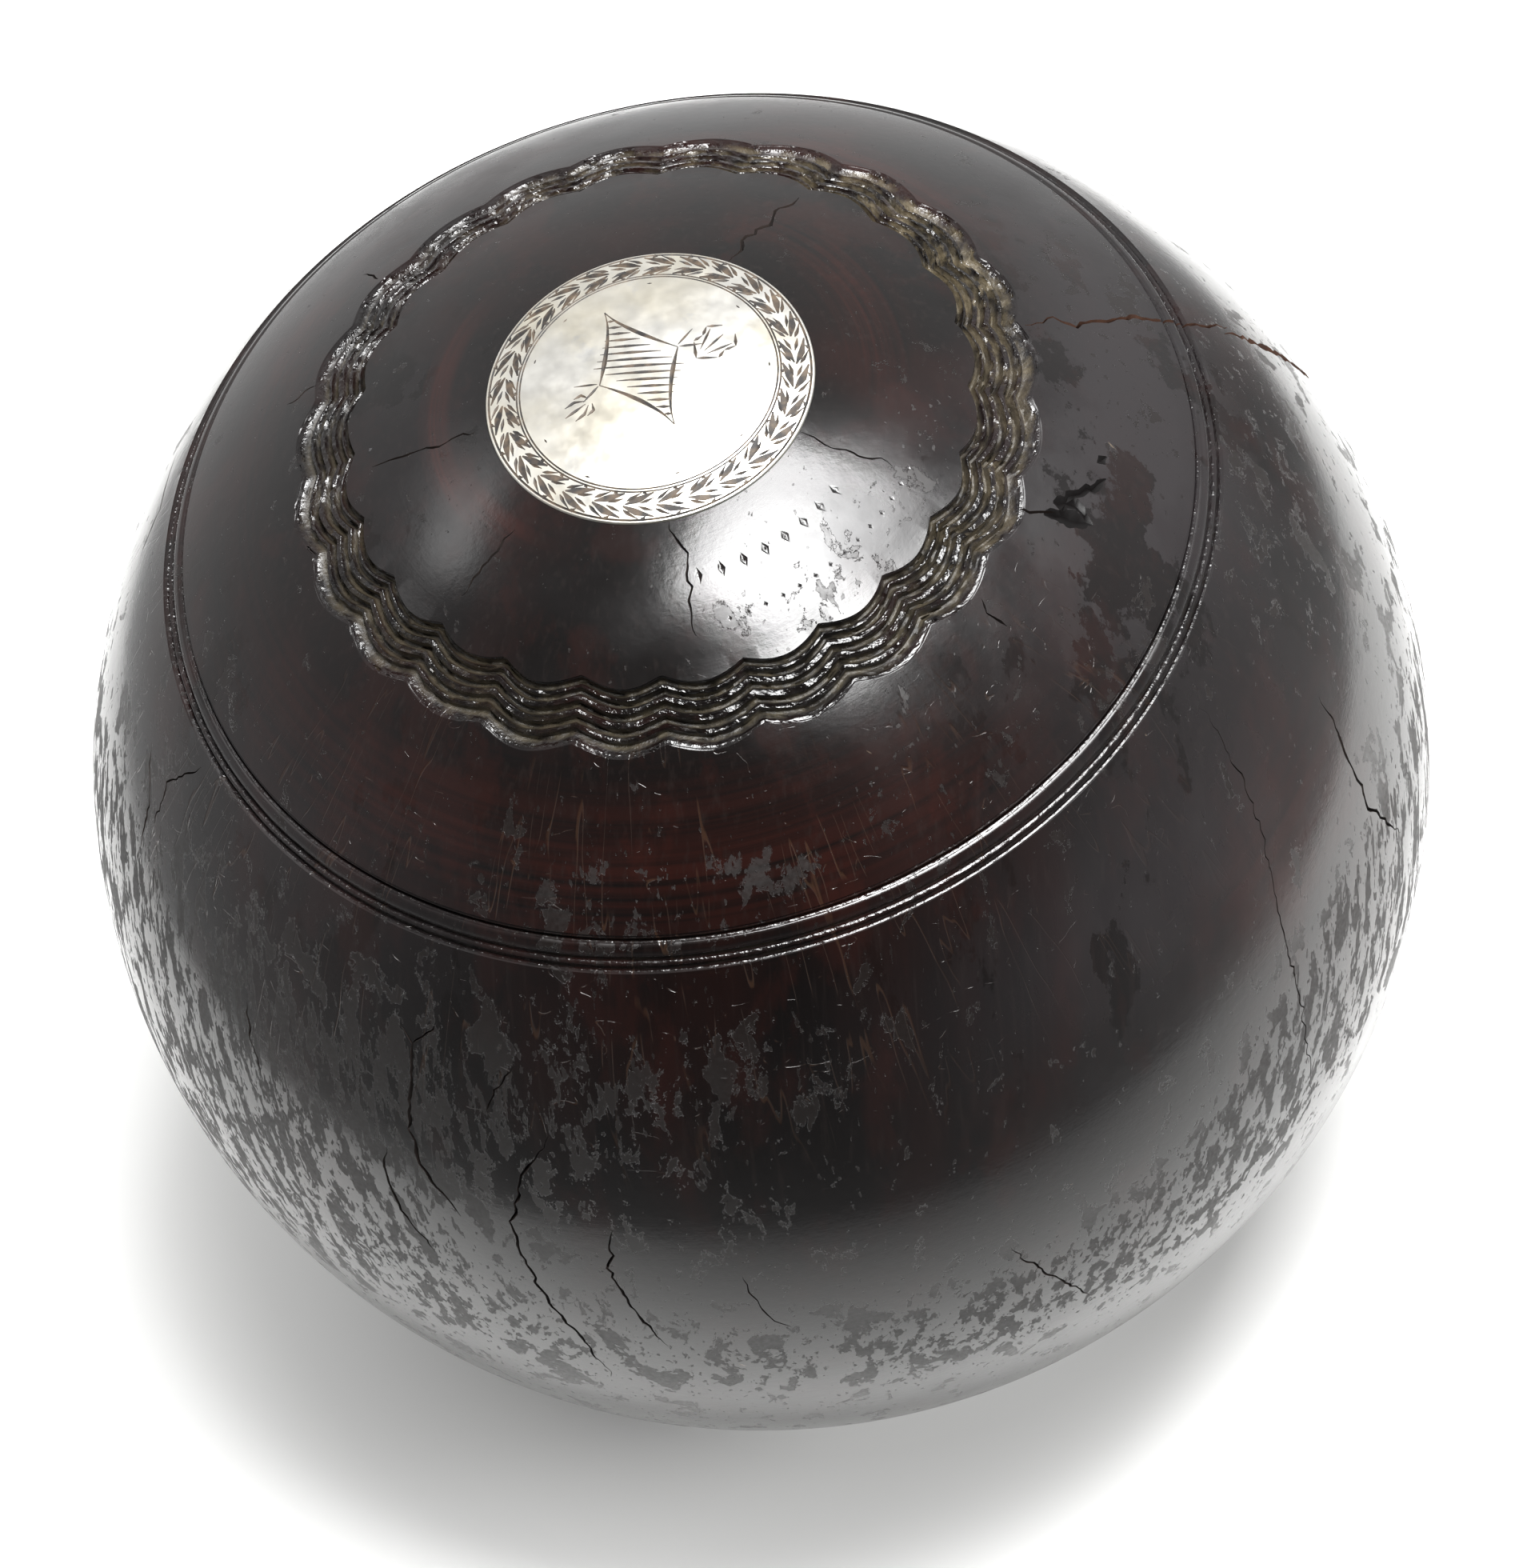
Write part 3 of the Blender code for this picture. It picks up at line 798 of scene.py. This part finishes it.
class Graph:
    """A material whose nodes are added with short calls."""

    def __init__(self, name):
        self.material = bpy.data.materials.new(name)
        self.material.use_nodes = True
        self.tree = self.material.node_tree
        self.shader = self.tree.nodes["Principled BSDF"]

    def add(self, kind, inputs, **settings):
        made = self.tree.nodes.new("ShaderNode" + kind)
        for key, value in settings.items():
            setattr(made, key, value)
        for key, value in inputs.items():
            self.put(made.inputs[key], value)
        return made

    def put(self, socket, value):
        if isinstance(value, bpy.types.NodeSocket):
            self.tree.links.new(value, socket)
        else:
            socket.default_value = value

    def set(self, **values):
        for key, value in values.items():
            self.put(self.shader.inputs[key.replace("_", " ")], value)

    def math(self, operation, first, second=0.0):
        return self.add("Math", {0: first, 1: second}, operation=operation).outputs[0]

    def mix(self, share, first, second):
        made = self.add("Mix", {"Factor": share, 6: first, 7: second}, data_type="RGBA")
        return made.outputs[2]

    def between(self, value, low, high, to_low=0.0, to_high=1.0):
        """Maps low..high to to_low..to_high, clamped."""
        made = self.add("MapRange", {0: value, 1: low, 2: high, 3: to_low, 4: to_high})
        return made.outputs[0]

    def blend(self, share, first, second):
        made = self.add("Mix", {"Factor": share, 2: first, 3: second})
        return made.outputs[0]

    def noise(self, place, scale, detail=4.0, roughness=0.55, distortion=0.0):
        made = self.add("TexNoise", {"Vector": place, "Scale": scale, "Detail": detail,
                                     "Roughness": roughness, "Distortion": distortion})
        return made.outputs["Fac"]

    def place(self, stretch=(1, 1, 1), tilt=(0, 0, 0)):
        """Object coordinates, turned by tilt degrees and then stretched."""
        where = self.add("TexCoord", {}).outputs["Object"]
        turned = [math.radians(angle) for angle in tilt]
        return self.add("Mapping", {"Vector": where, "Rotation": turned, "Scale": stretch},
                        vector_type="TEXTURE").outputs[0]

    def turned(self, around, along):
        """Coordinates for marks that follow the lathe: by azimuth, and by place on the outline."""
        where = self.add("TexCoord", {}).outputs["Object"]
        flat = self.add("VectorMath", {0: where, 1: (1, 1, 0)}, operation="MULTIPLY").outputs[0]
        way = self.add("VectorMath", {0: flat}, operation="NORMALIZE").outputs[0]
        way = self.add("VectorMath", {0: way, "Scale": around}, operation="SCALE").outputs[0]
        out = self.add("VectorMath", {0: flat}, operation="LENGTH").outputs["Value"]
        split = self.add("SeparateXYZ", {0: where})
        down = self.math("SUBTRACT", self.math("MULTIPLY", out, along),
                         self.math("MULTIPLY", split.outputs[2], along))
        lift = self.add("CombineXYZ", {2: down}).outputs[0]
        return self.add("VectorMath", {0: way, 1: lift}, operation="ADD").outputs[0]

    def hairlines(self, value, width):
        """1 on the thin lines where value passes 0.5, and 0 elsewhere."""
        off = self.math("ABSOLUTE", self.math("SUBTRACT", value, 0.5))
        return self.between(off, 0.4 * width, width, 1, 0)

    def attribute(self, name):
        return self.add("Attribute", {}, attribute_name=name).outputs["Fac"]

    def bump(self, height, distance, strength=1.0, under=None, invert=False):
        inputs = {"Height": height, "Distance": distance, "Strength": strength}
        if under is not None:
            inputs["Normal"] = under
        return self.add("Bump", inputs, invert=invert).outputs[0]


def colour(red, green, blue):
    return (red, green, blue, 1.0)


GRAIN_TILT = (0, 32, 66)        # turns Z to the direction that the wood's fibres run in


def wood_material():
    """Near-black lignum vitae: worn glossy varnish over satin wood, with dirt in the cuts."""
    g = Graph("old_varnished_lignum")
    plain = g.place()
    depth, flaking = g.attribute("depth"), g.attribute("flaking")
    crazing, warmth = g.attribute("crazing"), g.attribute("warmth")

    # Heartwood, redder in streaks, with pale fibres
    growth = g.noise(g.turned(0.5, 900), 1, 3)
    warm = g.math("MULTIPLY", warmth, g.between(growth, 0.30, 0.60))
    streaks = g.noise(g.place((1, 1, 3), GRAIN_TILT), 75, 5)
    warm = g.math("ADD", warm, g.between(streaks, 0.50, 0.72, 0, 0.17))
    mottle = g.noise(g.place((1, 1, 2), GRAIN_TILT), 120, 6, 0.65)
    warm = g.math("ADD", warm, g.between(mottle, 0.52, 0.60, 0, 0.14))
    base = g.mix(warm, colour(0.0028, 0.0022, 0.0021), colour(0.030, 0.0070, 0.0048))
    fibres = g.noise(g.place((1, 1, 25), GRAIN_TILT), 1500, 2)
    base = g.mix(g.between(fibres, 0.55, 0.75, 0, 0.30), base, colour(0.014, 0.010, 0.009))

    # Dirt in the cuts, and a paler film of it in parts of the carving
    dirt = g.between(g.noise(plain, 700, 5), 0.38, 0.62, 0.15, 1.0)
    dirty = g.math("MULTIPLY", g.between(depth, 0.55, 1.0), dirt)
    base = g.mix(dirty, base, colour(0.055, 0.045, 0.028))
    film = g.between(g.noise(plain, 420, 5), 0.42, 0.60)
    film = g.math("MULTIPLY", film, g.between(depth, 0.26, 0.50))
    film = g.math("MULTIPLY", film, g.attribute("grime"))
    base = g.mix(film, base, colour(0.100, 0.080, 0.048))

    # Hairlines that run down the sides, with a few across them
    down = g.hairlines(g.noise(g.turned(20, 32), 1, 1.5), 0.008)
    across = g.hairlines(g.noise(g.turned(8, 220), 1, 1.5), 0.006)
    broken = g.between(g.noise(plain, 130, 2), 0.47, 0.55)
    line = g.math("MAXIMUM", g.math("MULTIPLY", down, broken),
                  g.math("MULTIPLY", across, g.between(g.noise(plain, 500, 2), 0.58, 0.64)))
    line = g.math("MULTIPLY", line, crazing)
    base = g.mix(g.math("MULTIPLY", line, 0.28), base, colour(0.060, 0.032, 0.018))

    # Islands of varnish dulled by handling, and small pale chips and scuffs
    islands = g.between(g.noise(g.place((1, 1, 2), GRAIN_TILT), 85, 9, 0.66), 0.43, 0.445)
    satin = g.math("MULTIPLY", g.attribute("satin"), g.between(islands, 0, 1, 0.25, 1.0))
    bloom = g.math("MULTIPLY", satin, 0.9)
    base = g.mix(bloom, base, colour(0.014, 0.0120, 0.0128))
    pale = g.between(g.noise(plain, 400, 7, 0.65), 0.725, 0.735)
    pale = g.math("MULTIPLY", pale, g.between(satin, 0.2, 0.5))
    base = g.mix(pale, base, colour(0.10, 0.10, 0.105))
    scuffs = g.noise(g.place((1, 6, 1), (20, 10, 50)), 1300, 1)
    scuff = g.math("MULTIPLY", g.between(scuffs, 0.82, 0.86), g.between(depth, 0.03, 0.1, 1, 0))
    base = g.mix(scuff, base, colour(0.09, 0.07, 0.05))

    # Flakes: glossy varnish stands slightly proud of the satin wood that it has left
    long_grain = g.place((1, 1, 3.6), GRAIN_TILT)
    fine_flakes = g.noise(long_grain, 690, 8, 0.68, 0.2)
    broad_flakes = g.noise(g.place((1, 1, 1.6), GRAIN_TILT), 300, 8, 0.66, 0.3)
    flakes = g.blend(g.between(flaking, 0.78, 0.95), broad_flakes, fine_flakes)
    level = g.between(flaking, 0, 1, 0.66, 0.505)
    worn_off = g.between(g.math("SUBTRACT", flakes, level), -0.005, 0.005)
    pits = g.noise(g.place((1, 1, 2.2), GRAIN_TILT), 1500, 3)
    pitted = g.between(g.math("SUBTRACT", pits, g.between(flaking, 0, 1, 0.70, 0.62)), 0, 0.01)
    bare = g.math("MAXIMUM", worn_off, pitted)
    base = g.mix(g.math("MULTIPLY", bare, 0.7), base, colour(0.0075, 0.0056, 0.0050))

    # Roughness: in the carving, crests are rubbed glossy and grooves are dull
    dull = g.between(g.noise(plain, 2400, 3), 0.3, 0.7, 0.26, 0.40)
    dull = g.math("ADD", dull, g.between(flaking, 0.4, 1.0, 0, 0.28))
    cloud = g.between(g.noise(g.place((1, 1, 2), GRAIN_TILT), 160, 6), 0.35, 0.65, 0.4, 1.5)
    cloud = g.math("MULTIPLY", cloud, satin)
    cloud = g.math("ADD", cloud, g.between(g.noise(plain, 60, 4), 0.45, 0.62, 0, 0.25))
    gloss = g.between(cloud, 0, 1, 0.15, 0.40)
    rough = g.blend(bare, gloss, dull)
    rough = g.blend(g.between(depth, 0.10, 0.25), rough, 0.16)
    rough = g.blend(g.between(depth, 0.40, 0.65), rough, 0.52)

    normal = g.bump(bare, 0.045 * MM, 0.8, invert=True)
    normal = g.bump(line, 0.05 * MM, 0.7, normal, invert=True)
    normal = g.bump(g.noise(g.turned(4, 4000), 1, 3), 0.010 * MM, 0.30, normal)
    normal = g.bump(g.noise(plain, 1100, 5, 0.65), 0.03 * MM, 0.40, normal)
    chatter = g.math("MULTIPLY", g.noise(plain, 1250, 3), g.between(depth, 0.10, 0.30))
    normal = g.bump(chatter, 0.22 * MM, 1.0, normal)
    g.set(Base_Color=base, Roughness=rough, Normal=normal, IOR=1.52)
    return g.material


def crack_material(name, dark, light):
    """Bare or dirty wood on the walls of a crack."""
    g = Graph(name)
    g.set(Base_Color=g.mix(g.noise(g.place((1, 1, 6), GRAIN_TILT), 900), dark, light),
          Roughness=0.8)
    return g.material


def silver_material():
    """Old silver, polished but yellowed in clouds and bruised."""
    g = Graph("engraved_silver")
    plain = g.place()
    base = g.mix(g.between(g.noise(plain, 130, 3), 0.38, 0.66), colour(0.95, 0.93, 0.87),
                 colour(0.90, 0.85, 0.72))
    base = g.mix(g.between(g.noise(plain, 310, 5), 0.60, 0.72), base, colour(0.78, 0.77, 0.74))
    rough = g.between(g.noise(plain, 500, 4), 0.3, 0.7, 0.28, 0.40)
    normal = g.bump(g.noise(g.place((8, 1, 1), (0, 0, 60)), 3000, 2), 0.01 * MM, 0.3)
    g.set(Base_Color=base, Roughness=rough, Metallic=1.0, Normal=normal)
    return g.material


def oxide_material():
    """The dark bottom of an engraved line."""
    g = Graph("oxide_in_engraving")
    spread = g.noise(g.place(), 900, 3)
    base = g.mix(g.between(spread, 0.40, 0.75), colour(0.012, 0.010, 0.009),
                 colour(0.10, 0.07, 0.045))
    g.set(Base_Color=base, Roughness=0.6)
    return g.material


def plain_material(name, shade, roughness, metallic=0.0, level=0.5):
    """A material that is only a little uneven, for the pieces under the discs."""
    g = Graph(name)
    dark = colour(*(0.75 * part for part in shade))
    g.set(Base_Color=g.mix(g.noise(g.place(), 600), dark, colour(*shade)),
          Roughness=roughness, Metallic=metallic, Specular_IOR_Level=level)
    return g.material


# ---------------------------------------------------------------- stage

CAMERA_AZIMUTH = -92.1
CAMERA_ELEVATION = 54.9
CAMERA_ROLL = -16.63
CAMERA_DISTANCE = 13 * RADIUS
CAMERA_LENS = 199.1
AIM_BELOW = 2.1 * MM        # the bowl sits a little above the picture's middle
FLOOR_RADIUS = 0.19
FLOOR_GAP = 0.02 * MM       # keeps the floor off the face that the bowl rests on
LIGHT_DISTANCE = 0.9


def direction(azimuth, elevation):
    """Unit vector: azimuth anticlockwise from +X, elevation above the floor."""
    turn, rise = math.radians(azimuth), math.radians(elevation)
    return Vector((math.cos(turn) * math.cos(rise), math.sin(turn) * math.cos(rise),
                   math.sin(rise)))


def make_camera():
    data = bpy.data.cameras.new("camera")
    data.lens = CAMERA_LENS
    data.clip_start = 0.05
    camera = bpy.data.objects.new("camera", data)
    bpy.context.scene.collection.objects.link(camera)
    back = direction(CAMERA_AZIMUTH, CAMERA_ELEVATION)
    turn = back.to_track_quat("Z", "Y").to_matrix()
    turn = turn @ Matrix.Rotation(math.radians(CAMERA_ROLL), 3, "Z")
    aim = Vector((0, 0, MIDDLE)) - turn.col[1] * AIM_BELOW
    camera.matrix_world = Matrix.Translation(aim + back * CAMERA_DISTANCE) @ turn.to_4x4()
    bpy.context.scene.camera = camera


def area_light(name, azimuth, elevation, size, radiance, mirrored=True, spin=0.0):
    """A rectangle facing the bowl; radiance 1 would look just white."""
    data = bpy.data.lights.new(name, "AREA")
    data.shape = "RECTANGLE"
    data.size, data.size_y = size
    data.energy = radiance * math.pi * size[0] * size[1]
    light = bpy.data.objects.new(name, data)
    bpy.context.scene.collection.objects.link(light)
    way = direction(azimuth, elevation)
    light.location = Vector((0, 0, MIDDLE)) + way * LIGHT_DISTANCE
    light.rotation_mode = "QUATERNION"
    turn = Quaternion((0, 0, 1), math.radians(spin))
    light.rotation_quaternion = way.to_track_quat("Z", "Y") @ turn
    light.visible_camera = False
    light.visible_glossy = mirrored


def make_floor():
    """A round pale table with painted light: it glows, and the glow fades out near the bowl as a
    painted shadow; towards the camera its colour and glow turn grey, painted shade that the bowl
    reflects.
    """
    bm = bmesh.new()
    bmesh.ops.create_circle(bm, cap_ends=True, segments=96, radius=FLOOR_RADIUS)
    mesh = bpy.data.meshes.new("floor")
    bm.to_mesh(mesh)
    bm.free()
    g = Graph("pale_floor")
    where = g.place()
    split = g.add("SeparateXYZ", {0: where})
    # painted shade: colour and glow turn grey towards the camera, so the bowl reflects darkness there
    back = g.between(split.outputs[1], -FLOOR_RADIUS, -0.06, 0, 1)
    out = g.add("VectorMath", {0: where}, operation="LENGTH").outputs["Value"]
    # painted light: the floor glows, and near the bowl the glow fades out as a painted shadow under it
    g.set(Base_Color=g.mix(back, colour(0.10, 0.10, 0.10), colour(0.78, 0.78, 0.77)),
          Emission_Color=g.mix(back, colour(0.35, 0.35, 0.34), colour(1, 1, 0.99)),
          Emission_Strength=g.between(out, 0.042, 0.074, 0, 0.30), Roughness=0.9)
    floor = make_object("floor", mesh, g.material)
    floor.location.z = -FLOOR_GAP


def make_world():
    """A pale room, dark behind the camera; a camera ray sees plain white."""
    world = bpy.data.worlds.new("studio")
    world.use_nodes = True
    bpy.context.scene.world = world
    tree = world.node_tree
    tree.nodes.clear()

    def node(kind, **inputs):
        made = tree.nodes.new("ShaderNode" + kind)
        for key, value in inputs.items():
            made.inputs[key.replace("_", " ")].default_value = value
        return made

    def glow(towards, low, high, dark, bright):
        """Brightness from dark to bright as the dot product with towards goes low to high."""
        dot = node("VectorMath")
        dot.operation = "DOT_PRODUCT"
        dot.inputs[1].default_value = towards
        tree.links.new(way.outputs["Generated"], dot.inputs[0])
        ramp = node("MapRange", From_Min=low, From_Max=high, To_Min=dark, To_Max=bright)
        tree.links.new(dot.outputs["Value"], ramp.inputs["Value"])
        return ramp.outputs["Result"]

    way = node("TexCoord")
    room = node("Background")
    seen = node("Background", Strength=1.1)
    rays = node("LightPath")
    mix = node("MixShader")
    product = node("Math")
    product.operation = "MULTIPLY"
    out = node("OutputWorld")
    pairs = (
        (glow(direction(74, -34), -1.0, 1.0, 0.02, 1.15), product.inputs[0]),
        (glow(direction(34, -20), 0.93, 0.99, 1.0, 0.40), product.inputs[1]),
        (product.outputs[0], room.inputs["Strength"]),
        (rays.outputs["Is Camera Ray"], mix.inputs[0]),
        (room.outputs[0], mix.inputs[1]),
        (seen.outputs[0], mix.inputs[2]),
        (mix.outputs[0], out.inputs["Surface"]),
    )
    for source, target in pairs:
        tree.links.new(source, target)


def make_stage():
    make_camera()
    make_floor()
    make_world()
    area_light("softbox", 354, 75, (0.52, 0.48), 21, spin=-31)
    area_light("softbox_middle", 326, 76.5, (0.26, 0.26), 19, spin=-31)
    area_light("window", 140, 48, (0.30, 0.16), 3)
    area_light("right_fill", 335, 20, (0.40, 0.30), 21, mirrored=False)
    area_light("left_fill", 195, 20, (0.40, 0.30), 7, mirrored=False)
    bpy.context.scene.view_settings.view_transform = "Standard"


make_stage()
make_wood(
    wood_material(),
    crack_material("raw_wood_in_crack", colour(0.015, 0.007, 0.005), colour(0.10, 0.045, 0.026)),
    crack_material("dirt_in_cracks", colour(0.003, 0.002, 0.002), colour(0.022, 0.012, 0.008)),
    plain_material("dark_wood_in_chips", (0.002, 0.0015, 0.0015), 0.45, level=0.2),
)
silver, oxide = silver_material(), oxide_material()
make_plate("large_disc", OPEN_SIDE, silver, oxide)
make_plate("small_disc", BIAS_SIDE, silver, oxide)

hidden = {
    "cement": plain_material("old_cement", (0.16, 0.10, 0.06), 0.85),
    "pin": plain_material("silver_wire", (0.80, 0.78, 0.72), 0.35, 1.0),
}
for name, node in frame["nodes"].items():
    for kind, material in hidden.items():
        if "_" + kind in name:
            node.data.materials.clear()
            node.data.materials.append(material)
